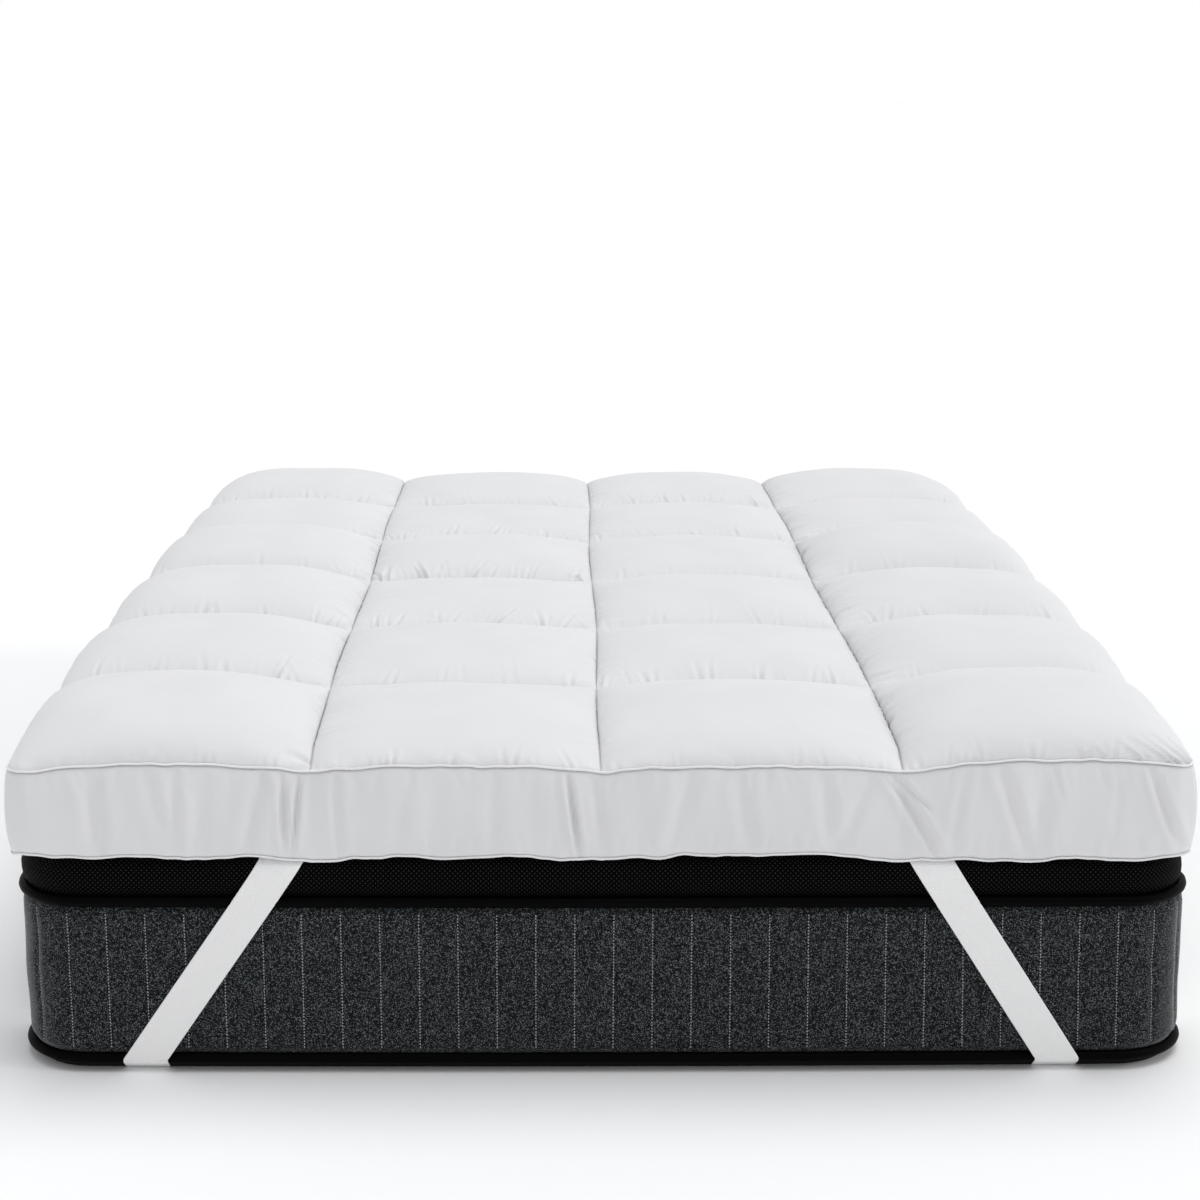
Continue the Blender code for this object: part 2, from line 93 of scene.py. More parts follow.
def waveScale(period):  # Blender's wave texture repeats every 2 pi / 20 units at scale 1
    return 2 * math.pi / 20 / period


def blend(first, second, share):
    return first + (second - first) * share


def ease(share):
    share = np.clip(share, 0.0, 1.0)
    return share * share * (3 - 2 * share)


def hump(distance, width):
    return np.exp(-(distance / width) ** 2)


def unit(vectors):
    return vectors / np.maximum(np.linalg.norm(vectors, axis=-1, keepdims=True), 1e-9)


def runLength(points):  # distance from the first point, along the first axis of the array
    steps = np.linalg.norm(np.diff(points, axis=0), axis=-1)
    return np.concatenate([np.zeros((1,) + steps.shape[1:]), np.cumsum(steps, axis=0)])


def spread(total, spacing, gaps, rng, place=0.0):  # uneven places along a length
    while place < total:
        yield place
        place += spacing * rng.uniform(*gaps)


def closed(grid, axis=0):  # the first line of a grid or loop comes again at its end
    return np.concatenate([grid, np.take(grid, [0], axis)], axis)


def numbered(*shape):
    return np.arange(math.prod(shape)).reshape(shape)


def newObject(name, data):
    thing = bpy.data.objects.new(name, data)
    bpy.context.scene.collection.objects.link(thing)
    return thing


def makePiece(name, points, faces, material, grain=None):  # grain is the cloth coordinate of each face corner
    mesh = bpy.data.meshes.new(name)
    mesh.from_pydata(np.asarray(points, float).reshape(-1, 3).tolist(), [], faces)
    if grain is not None:
        mesh.uv_layers.new(name="clothGrain").data.foreach_set("uv", np.asarray(grain, np.float32).ravel())
    mesh.shade_smooth()
    mesh.materials.append(material)
    return newObject(name, mesh)


def gridPiece(name, points, grids, material, caps=()):
    # a grid is its point numbers and its cloth coordinates in metres; a cap is a ring of point numbers
    faces, corners = [], []
    for grid in grids:
        quads, grain = [np.stack([part[:-1, :-1], part[1:, :-1], part[1:, 1:], part[:-1, 1:]], 2) for part in grid]
        faces += quads.reshape(-1, 4).tolist()
        corners.append(grain.reshape(-1, 2))
    points = points.reshape(-1, 3)
    for cap in caps:
        faces.append(cap.tolist())
        corners.append(points[cap, :2])
    return makePiece(name, points, faces, material, np.vstack(corners))


def fitPiece(piece, slot, *nodes):  # all pieces ride on the one body, and most stand for a solid
    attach(piece, "root")
    if nodes:
        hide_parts(*nodes)


def outwardOf(ring):  # level directions that point out of a counter-clockwise ring
    step = np.roll(ring, -1, 0) - np.roll(ring, 1, 0)
    return unit(np.column_stack([step[:, 1], -step[:, 0], np.zeros(len(ring))]))


def cordLoop(name, line, outward, radius, sides, material):  # a round cord along a closed, nearly level line
    angles = 2 * np.pi * np.arange(sides) / sides
    up = np.array([0.0, 0.0, 1.0])
    points = np.stack([line + radius * (math.cos(a) * outward + math.sin(a) * up) for a in angles], 1)
    girth = 2 * math.pi * radius * np.arange(sides + 1) / sides
    grain = np.stack(np.broadcast_arrays(runLength(closed(line))[:, None], girth[None, :]), -1)
    return gridPiece(name, points, [(closed(closed(numbered(len(line), sides)), 1), grain)], material)


def stitchPiece(name, centres, along, outward, size, material):
    # many small stitches as one mesh: each is a spindle, a little sunk in the cloth at both ends
    across = unit(np.cross(along, outward))
    points = []
    for place, wide, sink in ((-1.0, False, -0.6), (-0.55, True, 0.0), (0.55, True, 0.0), (1.0, False, -0.6)):
        middle = centres + along * (place * size["length"] / 2) + outward * (sink * size["height"])
        side, top = across * (size["width"] / 2), outward * size["height"]
        points += [middle + side, middle + top, middle - side] if wide else [middle]
    points = np.stack(points, 1)  # (stitches, 8, 3)
    faces = []
    pattern = (0, 1, 2), (0, 2, 3), (1, 4, 5, 2), (2, 5, 6, 3), (4, 7, 5), (5, 7, 6), (0, 3, 6, 7), (0, 7, 4, 1)
    for face in pattern:
        faces += (np.arange(len(centres))[:, None] * 8 + np.array(face)).tolist()
    return makePiece(name, points, faces, material)


# Materials: sizes in their nodes are metres of cloth.

def clothGrain(add, turn=0.0):  # the piece's own flat cloth coordinates in metres, turned for a bias cut
    grain = add("UVMap", {}, uv_map="clothGrain")
    return add("Mapping", {"Vector": grain, "Rotation": (0, 0, turn)}) if turn else grain


def threadBump(add, grain, pitchX, pitchY):  # height of a plain weave: two sets of crossing threads
    threads = {}
    for number, (direction, pitch) in enumerate((("X", pitchX), ("Y", pitchY))):
        wave = {"Vector": grain, "Scale": waveScale(pitch), "Distortion": 0.25, "Detail": 0.0}
        threads[number] = add("TexWave", wave, bands_direction=direction)
    return add("Math", threads)


def patchesOf(add, grain, size, detail, low, high):  # soft patches of about that size
    cloud = add("TexNoise", {"Vector": grain, "Scale": 1 / size, "Detail": detail})
    return add("MapRange", {"Value": cloud, "From Min": low, "From Max": high})


def microfibreMaterial(name, base, shade, turn=0.0, pitch=0.0011):
    # Polyester microfibre, woven close and brushed: matt and even, with a faint bloom at grazing angles.
    # Real threads lie 0.2 mm apart, too fine to show, so the weave is drawn at 1.1 mm, on the piping at 0.9 mm.
    material, add = newMaterial(
        name, Roughness=0.82, IOR=1.46, Specular_IOR_Level=0.3, Sheen_Weight=0.06, Sheen_Roughness=0.45)
    grain = clothGrain(add, turn)
    patches = patchesOf(add, grain, 0.11, 3.0, 0.3, 0.7)
    lint = add("Math", {0: patchesOf(add, grain, 0.0021, 1.0, 0.35, 0.75), 1: 0.35})
    colour = add("Mix", {0: patches, 6: base, 7: shade})
    colour = add("Mix", {0: lint, 6: colour, 7: shade})
    crumple = add("TexNoise", {"Vector": grain, "Scale": 1 / 0.017, "Detail": 3.0, "Roughness": 0.55})
    weave = threadBump(add, grain, pitch, pitch)
    return finished(material, colour, (crumple, 0.0012, 0.35), (weave, 0.00012, 0.5))


def elasticMaterial():
    # Polyester and rubber elastic, woven as a band: fine ribs along its length, crossed by the weft, half matt.
    # Ribs 1.2 mm apart and a weft of 0.6 mm are too fine to show, so both are drawn about twice as coarse.
    material, add = newMaterial("wovenElastic", Roughness=0.72, IOR=1.47, Sheen_Weight=0.1, Sheen_Roughness=0.5)
    grain = clothGrain(add)
    ribs = add("TexWave", {"Vector": grain, "Scale": waveScale(0.0024)}, bands_direction="X")
    weft = {"Vector": grain, "Scale": waveScale(0.0013), "Distortion": 0.3}
    weft = add("TexWave", weft, bands_direction="Y")
    colour = add("Mix", {0: ribs, 6: "#EDEDED", 7: "#F4F4F4"})
    colour = add("Mix", {0: patchesOf(add, grain, 0.05, 2.0, 0.3, 0.75), 6: colour, 7: "#F0F0F0"})
    return finished(material, colour, (weft, 0.00012, 0.6), (ribs, 0.00025, 0.7))


def heatherMaterial():
    # Polyester jersey, knitted from marled yarn: a dark blue-grey ground with pale and black flecks, quite matt.
    # Its loops are 1.2 mm wide and 1.6 mm high, and the flecks, each of one ply, are 0.85 mm.
    material, add = newMaterial(
        "marledJersey", Roughness=0.9, IOR=1.46, Specular_IOR_Level=0.1, Sheen_Weight=1.0, Sheen_Roughness=0.20)
    grain = clothGrain(add)
    cells = add("TexVoronoi", {"Vector": grain, "Scale": 1 / 0.00085})
    fleck = add("SeparateColor", {"Color": cells}).node.outputs
    pale = add("MapRange", {"Value": fleck["Red"], "From Min": 0.62, "From Max": 0.96})
    dark = add("MapRange", {"Value": fleck["Green"], "From Min": 0.4, "From Max": 0.9})
    ground = {0: patchesOf(add, grain, 0.03, 2.0, 0.3, 0.7), 6: "#121517", 7: "#181B1D"}
    yarn = {0: fleck["Blue"], 6: "#82817B", 7: "#76818A"}
    colour = add("Mix", {0: pale, 6: add("Mix", ground), 7: add("Mix", yarn)})
    colour = add("Mix", {0: dark, 6: colour, 7: "#07090A"})
    loops = threadBump(add, grain, 0.0012, 0.0016)
    return finished(material, colour, (loops, 0.0003, 0.7), (fleck["Red"], 0.0005, 0.5))


def spacerMeshMaterial():
    # Polyester spacer mesh, warp-knitted: black, with a lattice of raised knots 4.6 mm apart; the light the knots
    # catch is painted into the colour as a paler grey on each knot, a painted highlight.
    material, add = newMaterial("spacerMesh", Roughness=0.62, IOR=1.5, Specular_IOR_Level=0.03)
    knots = threadBump(add, clothGrain(add, math.pi / 4), 0.0046, 0.0046)
    # painted highlight: the colour turns from black to pale grey on the raised knots, standing in for the light they
    # catch
    paintedKnotHighlight = add("MapRange", {"Value": knots, "From Min": 0.45, "From Max": 0.85})
    return finished(material, add("Mix", {0: paintedKnotHighlight, 6: "#010101", 7: "#292B2D"}), (knots, 0.0009, 0.9))


def tapeMaterial():
    # Black polyester tape, woven in twill and folded over a cord: fine slanting ribs with a soft satin gleam.
    material, add = newMaterial("twillTape", Roughness=0.45, IOR=1.5, Specular_IOR_Level=0.03)
    grain = clothGrain(add, math.radians(35))
    ribs = {"Vector": grain, "Scale": waveScale(0.0016), "Distortion": 0.4}
    ribs = add("TexWave", ribs, bands_direction="X")
    creases = add("TexNoise", {"Vector": grain, "Scale": 1 / 0.02, "Detail": 2.0})
    colour = add("Mix", {0: ribs, 6: "#010101", 7: "#060607"})
    return finished(material, colour, (creases, 0.001, 0.4), (ribs, 0.0002, 0.6))


def nonWovenMaterial():
    # Black polypropylene non-woven, spun and bonded by heated points: dull, with small pressed dots 4 mm apart.
    material, add = newMaterial("spunbondedCloth", Roughness=0.85, IOR=1.49, Specular_IOR_Level=0.2)
    grain = clothGrain(add, math.pi / 4)
    dots = threadBump(add, grain, 0.004, 0.004)
    fibres = add("TexNoise", {"Vector": grain, "Scale": 1 / 0.0016, "Detail": 3.0, "Roughness": 0.7})
    colour = add("Mix", {0: fibres, 6: "#0B0B0C", 7: "#1B1C1D"})
    return finished(material, colour, (fibres, 0.0003, 0.5), (dots, 0.0006, 0.7))


def threadMaterial(name, base, shade):
    # Spun polyester sewing thread, twisted in two plies: slightly brighter than the cloth around it.
    material, add = newMaterial(name, Roughness=0.6, IOR=1.5, Sheen_Weight=0.1)
    place = add("TexCoord", {}, "Object")
    plies = add("TexNoise", {"Vector": place, "Scale": 1 / 0.0012, "Detail": 1.0})
    return finished(material, add("Mix", {0: plies, 6: base, 7: shade}), (plies, 0.0002, 0.5))


topperCloth = microfibreMaterial("brushedMicrofibre", "#E2E2E3", "#DFDFE0")
biasCloth = microfibreMaterial("biasMicrofibre", "#ECECED", "#E8E8E9", math.pi / 4, 0.0009)
wovenElastic = elasticMaterial()
marledJersey = heatherMaterial()
spacerMesh = spacerMeshMaterial()
twillTape = tapeMaterial()
spunbondedCloth = nonWovenMaterial()
whiteThread = threadMaterial("whiteThread", "#F2F3F5", "#DFE1E5")
greyThread = threadMaterial("greyThread", "#C4C9CD", "#9BA1A6")
print("materials made")

topper = {
    "columns": 4, "rows": 6,
    "sideInset": 0.012,  # top seam, inside the mattress's width and length
    "cornerRadius": 0.028,
    "bottomZ": 0.2913, "topSeamZ": 0.411,
    "pointsAcross": 126, "pointsAlong": 84,  # points in a box
    "gather": 0.15,  # how much closer the points lie near a seam
    "edgeGather": 1.5,  # and near the outline, where the boxes are steep
    "longSeams": ((-0.374, -0.392), (-0.004, 0.001), (0.381, 0.376)),  # x at the foot and at the head
    "seamWander": 0.003, "wanderPerRow": 2.1, "wanderPerSeam": 1.7,
    "channelRise": 0.006, "channelRunOut": 0.06, "crossSeamRise": 0.008,
    "crowns": (  # height of each box above the top seam, row by row from the foot
        (0.062, 0.039, 0.048, 0.070),
        (0.061, 0.042, 0.042, 0.061),
        (0.063, 0.035, 0.045, 0.060),
        (0.066, 0.044, 0.042, 0.072),
        (0.048, 0.032, 0.039, 0.050),
        (0.048, 0.038, 0.040, 0.050),
    ),
    # power and root of a crown: steep at the outline, rounder to a long seam, gentler to a cross seam
    "outlineShape": (3.0, 0.55), "longShape": (2.6, 0.68), "crossShape": (2.5, 0.7),
    "topLifts": (0.002, 0.0, -0.001, 0.0075),  # top seam of each column at the foot, in its middle
    "footDroop": (0.010, 0.001), "droopReach": 0.17,  # how far the foot's left and right corners sink
    "pinch": 0.0045, "pinchWidth": 0.013, "boxWidth": 0.375,  # where a long seam pulls the outline down
    "seamDip": 0.006, "drawIn": np.array([0.007, 0.004]), "drawInReach": 0.14,  # at a seam's end, on sides and ends
    "ripple": 0.0011, "rippleReach": 0.014, "rippleLengths": (0.0079, 0.031, 0.0127),  # small waves of the top seam
    "sway": 0.0012, "swayLengths": (0.33, 0.147),  # slow waves of the whole top, and of the low seam
    "puff": 0.0018, "puffReach": 0.016,  # how far a box bellies out over its long seams
    "puffRagged": 0.55, "puffWave": 0.026, "puffSway": (2.4, 0.23), "puffRunOut": 0.10,  # uneven along the seam
    "seamClearance": 0.0006,
    # how far the filling pushes the sides out on the left and right: at the foot, and this many rows on
    "footBow": (0.004, 0.0), "sideBow": (0.018, 0.021), "bowRows": (1.5, 2.3), "bowEndRows": 0.7,
    "bowFrom": 0.4, "bowSpan": 0.3,  # x where that starts, and the width over which it grows
    "skirtTop": 0.004, "skirtInset": 0.0035, "skirtDrop": 0.024,  # hidden rim of the quilted top, inside the wall
}
bed = np.array([1.524, 2.032]) / 2  # half the mattress's width and length
halfPlan = bed - topper["sideInset"]
halfWidth, halfLength = halfPlan


def crowned(share, shape):  # 0 at both ends of a box and 1 in its middle
    power, root = topper[shape]
    return np.maximum(0.0, 1 - np.abs(2 * share - 1) ** power) ** root


def cuts(count, points):  # places from 0 to count boxes, closer together near each seam
    share = np.arange(points + 1) / points
    near = np.tile(share - topper["gather"] * np.sin(2 * np.pi * share) / (2 * np.pi), (count, 1))
    steep = 0.5 * (2 * share) ** topper["edgeGather"]
    near[0] = np.where(share < 0.5, steep, near[0])
    near[-1] = np.where(share > 0.5, 1 - steep[::-1], near[-1])
    return np.append((np.arange(count)[:, None] + near[:, :-1]).ravel(), float(count))


def unevenness(x, y, shift):  # a slow wave that runs on round the corners
    longWave, shortWave = topper["swayLengths"]
    longPart = np.sin(2 * np.pi * (x + 0.9 * y) / longWave + shift)
    shortPart = np.sin(2 * np.pi * (x - y) / shortWave + 2 * shift)
    return topper["sway"] * blend(shortPart, longPart, 0.6)


def longSeamLines(t):  # x of the two sides and the three long seams, t rows from the foot
    lines = [np.full_like(t, -halfWidth)]
    for number, (foot, head) in enumerate(topper["longSeams"], 1):
        wander = np.sin(topper["wanderPerRow"] * t + topper["wanderPerSeam"] * number)
        lines.append(blend(foot, head, t / topper["rows"]) + topper["seamWander"] * wander)
    return np.array(lines + [np.full_like(t, halfWidth)])


def boxOf(position, count):
    return np.minimum(position.astype(int), count - 1)


def roundedPlan(s, t):  # plan points at s columns and t rows, with the outline's round corners
    lines = longSeamLines(t)
    column = boxOf(s, topper["columns"])
    at = np.arange(len(s))
    x = blend(lines[column, at], lines[column + 1, at], s - column)
    plan = np.stack([x, blend(-halfLength, halfLength, t / topper["rows"])], -1)
    radius = topper["cornerRadius"]
    beyond = (np.abs(plan) - halfPlan + radius) / radius
    rounded = beyond * np.sqrt(np.maximum(0.0, 1 - beyond[:, ::-1] ** 2 / 2))
    inCorner = (beyond > 0).all(1, keepdims=True)
    return np.where(inCorner, np.copysign(halfPlan - radius + rounded * radius, plan), plan)


def atOutline(box, share, count):  # the outer half of an outer box
    return ((box == 0) & (share < 0.5)) | ((box == count - 1) & (share > 0.5))


def seamPull(position, count):  # 1 where an inner seam meets the outline, 0 in a box's middle and at a corner
    box = boxOf(position, count)
    share = position - box
    return np.where(atOutline(box, share, count), 0.0, 1 - crowned(share, "crossShape"))


def quiltedTop(s, t):  # points of the quilted top: crowned boxes, deep long channels, shallow cross seams
    columns, rows = topper["columns"], topper["rows"]
    plan = roundedPlan(s, t)
    near = ease(1 - (halfPlan - np.abs(plan)) / topper["drawInReach"])
    pull = np.stack([seamPull(t, rows), seamPull(s, columns)], -1)
    plan -= np.copysign(topper["drawIn"] * pull * near, plan)
    fromSide, fromEnd = (halfPlan - np.abs(plan)).T
    column, row = boxOf(s, columns), boxOf(t, rows)
    u, v = s - column, t - row
    # levels of the four edges of the box, above the top seam
    dip, pinch = topper["seamDip"], topper["pinch"]
    channel = blend(-dip - pinch, topper["channelRise"], ease(fromEnd / topper["channelRunOut"]))
    side, end = (-dip * pull).T
    seam = np.clip(np.round(s), 1, columns - 1)
    end = end - pinch * hump((s - seam) * topper["boxWidth"], topper["pinchWidth"])
    footEnd = end + np.array(topper["topLifts"])[column] * crowned(u, "crossShape")
    left = np.where(column == 0, side, channel)
    right = np.where(column == columns - 1, side, channel)
    foot = np.where(row == 0, footEnd, topper["crossSeamRise"])
    head = np.where(row == rows - 1, end, topper["crossSeamRise"])
    across = np.where(atOutline(column, u, columns), crowned(u, "outlineShape"), crowned(u, "longShape"))
    along = np.where(atOutline(row, v, rows), crowned(v, "outlineShape"), crowned(v, "crossShape"))
    sideLevel, endLevel = blend(left, right, ease(u)), blend(foot, head, ease(v))
    rise = endLevel - sideLevel + along * (np.array(topper["crowns"])[row, column] - endLevel)
    height = topper["topSeamZ"] + sideLevel + across * rise
    run = plan[:, 0] + plan[:, 1]
    short, slow, second = topper["rippleLengths"]
    ripple = np.sin(run / short + 2 * np.sin(run / slow)) + np.sin(run / second + 1.0)
    height += 0.5 * topper["ripple"] * ripple * hump(np.minimum(fromSide, fromEnd), topper["rippleReach"])
    height += unevenness(plan[:, 0], plan[:, 1], 0.0)
    droop, footBow, sideBow, bowRows = [np.where(plan[:, 0] < 0, *topper[name])
                                        for name in ("footDroop", "footBow", "sideBow", "bowRows")]
    height -= droop * ease(1 - np.hypot(fromSide, halfLength + plan[:, 1]) / topper["droopReach"])
    bow = blend(footBow, sideBow, ease(t / bowRows)) * ease((rows - t) / topper["bowEndRows"])
    bow *= ease((np.abs(plan[:, 0]) - topper["bowFrom"]) / topper["bowSpan"])
    plan[:, 0] += np.copysign(bow, plan[:, 0])
    return np.column_stack([plan, height])


# Puckers: short creases that run from a seam into a box, where the stitching gathers the cloth.
puckers = {
    "seed": 7,
    "spacing": 0.0120, "gaps": (0.55, 1.6), "slant": 0.20, "bend": 0.06, "ridge": 0.55,
    "cluster": (0.28, 0.5, 0.4), "clusterLength": 0.085, "clusterShort": 0.43,  # where they crowd together
    "strength": (0.3, 1.0), "riseShare": 0.12,
    # each kind: depth, half width and reach in metres, and the share of the depth that a seam gets;
    # a long seam has one kind for each of its two sides
    "longSeams": (
        ((0.0100, (0.0022, 0.0036), (0.020, 0.050), (0.7, 1.1)),
         (0.0040, (0.0022, 0.0036), (0.014, 0.034), (0.7, 1.1))),
        ((0.0044, (0.0022, 0.0036), (0.016, 0.040), (0.7, 1.1)),
         (0.0044, (0.0022, 0.0036), (0.016, 0.040), (0.7, 1.1))),
        ((0.0040, (0.0022, 0.0036), (0.014, 0.034), (0.7, 1.1)),
         (0.0120, (0.0022, 0.0038), (0.024, 0.062), (0.7, 1.1))),
    ),
    "crossSeamFoot": (0.0076, (0.0019, 0.0030), (0.046, 0.080), (0.25, 1.2)),
    "crossSeamHead": (0.0040, (0.0022, 0.0036), (0.025, 0.060), (0.7, 1.1)),
    "edge": (0.0032, (0.0020, 0.0034), (0.014, 0.042), (0.7, 1.1)),
    # folds that fan out over the steep slope at the right corner of the foot:
    # x at the upper end, length of cloth up the slope, x at the piping
    "cornerCreases": ((0.602, 0.020, 0.610), (0.620, 0.024, 0.636), (0.650, 0.030, 0.686), (0.660, 0.042, 0.724),
                      (0.690, 0.032, 0.736), (0.695, 0.050, 0.748), (0.716, 0.052, 0.756)),
    "cornerDepth": 0.0029, "cornerWidth": 0.0021, "cornerRise": 0.1,
}


def creaseProfile(distance, width):  # a trough with a ridge on each side
    return hump(distance, width) - puckers["ridge"] * hump(np.abs(distance) - 1.9 * width, width)


def addPuckers(depthField, a, q, length, kind, rng):
    # a runs along the seam and q away from it, both in metres of cloth; depthField is changed in place
    start = rng.uniform(0.0, puckers["spacing"])
    phases = rng.uniform(0.0, 2 * np.pi, 2)
    deepest, widths, reaches, share = kind
    depth = deepest * rng.uniform(*share)
    base, first, second = puckers["cluster"]
    for place in spread(length, puckers["spacing"], puckers["gaps"], rng, start):
        turn = 2 * math.pi * place / puckers["clusterLength"]
        cluster = base + first * math.sin(turn + phases[0])
        cluster += second * math.sin(turn / puckers["clusterShort"] + phases[1])
        strength = max(0.0, cluster) * rng.uniform(*puckers["strength"]) * depth
        reach = rng.uniform(*reaches)
        width = rng.uniform(*widths)
        slant = rng.normal(0.0, puckers["slant"])
        across = a - place - slant * q - rng.normal(0.0, puckers["bend"]) * q * q / reach
        inside = (q < reach) & (np.abs(across) < 4 * width)
        if inside.any():
            share = q[inside] / reach
            fade = np.clip(share / puckers["riseShare"], 0, 1) * (1 - share) ** 1.1
            depthField[inside] -= strength * fade * creaseProfile(across[inside], width * (1 + 0.5 * share))


def cornerCreases(grid, upSlope):  # upSlope is the length of cloth from the piping at the foot
    depth = np.zeros(grid.shape[:2])
    for farX, reach, nearX in puckers["cornerCreases"]:
        share = np.clip(upSlope / reach, 0, 1)
        across = (grid[..., 0] - blend(nearX, farX, share)) * math.cos(math.atan2(nearX - farX, reach))
        crease = creaseProfile(across, puckers["cornerWidth"] * (0.8 + 0.6 * share))
        depth += puckers["cornerDepth"] * crease * np.clip(share / puckers["cornerRise"], 0, 1) * (1 - share) ** 0.6
    return depth


def puff(y, distance, shift):  # how far a box bellies out, at that distance from a long seam
    turn = 2 * np.pi * y / topper["puffWave"]
    sway, slow = topper["puffSway"]
    ragged = 1 + topper["puffRagged"] * np.sin(turn + sway * np.sin(slow * turn + shift) + shift)
    ragged *= ease((halfLength - np.abs(y)) / topper["puffRunOut"])
    share = distance / topper["puffReach"]
    return topper["puff"] * ragged * share * np.exp(1 - share)


def puckeredTop(grid, seamsS, seamsT):
    # grid (across, along, 3) of the smooth top, and the cut numbers of its seams
    rng = np.random.default_rng(puckers["seed"])
    normals = unit(np.cross(np.gradient(grid, axis=0), np.gradient(grid, axis=1)))
    lengthS = runLength(grid)
    lengthT = runLength(grid.transpose(1, 0, 2)).T
    offset = np.zeros(grid.shape[:2])
    last = (topper["columns"] - 1, topper["rows"] - 1)
    edgeKind, longKinds = puckers["edge"], puckers["longSeams"]
    for column, (s0, s1) in enumerate(zip(seamsS, seamsS[1:])):
        for row, (t0, t1) in enumerate(zip(seamsT, seamsT[1:])):
            part = (slice(s0, s1 + 1), slice(t0, t1 + 1))
            fromLeft = lengthS[part] - lengthS[s0, t0:t1 + 1][None, :]
            fromRight = lengthS[s1, t0:t1 + 1][None, :] - lengthS[part]
            fromFoot = lengthT[part] - lengthT[s0:s1 + 1, t0][:, None]
            fromHead = lengthT[s0:s1 + 1, t1][:, None] - lengthT[part]
            alongX, alongY = grid[part][..., 0] - grid[s0, t0, 0], grid[part][..., 1] - grid[s0, t0, 1]
            wide, deep = grid[s1, t0, 0] - grid[s0, t0, 0], grid[s0, t1, 1] - grid[s0, t0, 1]
            field = np.zeros_like(fromLeft)
            for seam in ((alongY, fromLeft, deep, longKinds[column - 1][1] if column else edgeKind),
                         (alongY, fromRight, deep, longKinds[column][0] if column < last[0] else edgeKind),
                         (alongX, fromFoot, wide, puckers["crossSeamFoot"] if row else edgeKind),
                         (alongX, fromHead, wide, puckers["crossSeamHead"] if row < last[1] else edgeKind)):
                addPuckers(field, *seam, rng)
            if column > 0:
                field += puff(grid[part][..., 1], fromLeft, 1.7 * column)
            if column < last[0]:
                field += puff(grid[part][..., 1], fromRight, 0.9)
            offset[part] = field
    offset += cornerCreases(grid, lengthT)
    moved = grid + normals * offset[..., None]
    for s0, s1 in zip(seamsS, seamsS[1:]):  # neighbours never pass through each other
        low, high = grid[s0, :, 0] + topper["seamClearance"], grid[s1, :, 0] - topper["seamClearance"]
        moved[s0 + 1:s1, :, 0] = np.clip(moved[s0 + 1:s1, :, 0], low, high)
    moved[seamsS] = grid[seamsS]
    moved[:, seamsT] = grid[:, seamsT]
    return moved, lengthS, lengthT


wall = {
    "points": 2400, "levels": 24,
    "lowLifts": (0.0, 0.0, 0.003, -0.004),  # low seam below each column at the foot
    "lowSeamOut": 0.0045, "flatIn": 0.0075,
    "bulge": 0.0065, "bulgeAtSeam": 0.002, "roundness": 0.6,
    "hemWave": 0.0030,  # ripple of the low seam, mostly upwards
    "hemRipples": ((0.5, 49, 2.2, 9), (0.4, 83, 2.5, 17), (0.12, 187, 3, 31)),  # share, waves, sway, slow waves
    "rimTop": 0.0045, "rimInset": 0.0030, "rimDrop": 0.0243,
}
# Folds of the wall. Those at the foot are read from the photo: x at the top and low seam, depth, half width and
# reach down the wall, where 99 is a fold that keeps its depth to the low seam.
wallFolds = {
    "foot": (
        (-0.639, -0.633, 0.0037, 0.008, 99.0), (-0.541, -0.540, 0.0042, 0.007, 99.0),
        (-0.406, -0.402, 0.0056, 0.0040, 99.0), (-0.384, -0.395, 0.0062, 0.0034, 99.0),
        (-0.219, -0.214, 0.0020, 0.014, 99.0), (-0.047, -0.030, 0.0080, 0.0038, 99.0),
        (0.045, 0.048, 0.0018, 0.012, 99.0), (0.107, 0.112, 0.0018, 0.012, 99.0),
        (0.362, 0.428, 0.0063, 0.0065, 99.0), (0.500, 0.541, 0.0045, 0.0075, 99.0),
        (0.690, 0.735, 0.0050, 0.0055, 99.0), (0.347, 0.450, 0.0052, 0.0034, 0.38),
        (0.364, 0.475, 0.0060, 0.0036, 0.46), (0.566, 0.600, 0.0030, 0.0040, 0.40),
    ),
    "footReach": 0.03,  # how far from the foot's end the wall still counts as the foot
    # folds all round the wall, of random depth, width and lean
    "seed": 19, "spacing": 0.075, "gaps": (0.5, 1.6), "depth": (0.0018, 0.0064), "width": (0.0045, 0.012),
    "lean": 0.016, "share": (0.3, 1.0),
    # short folds at the top and the low seam: where each starts to fade out, as a share of the wall's height
    "shortSpacing": 0.019, "shortGaps": (0.5, 2.2), "shortDepth": 0.0028, "shortShare": (0.2, 1.0),
    "shortWidth": (0.003, 0.006), "shortLean": 0.25, "shortTop": 0.3, "shortLow": 0.72, "wallHeight": 0.12,
}


def foldProfile(distance, width):  # a soft trough with a raised lip on each side
    return 0.42 * hump(np.abs(distance) - 2.1 * width, 1.2 * width) - hump(distance, width)


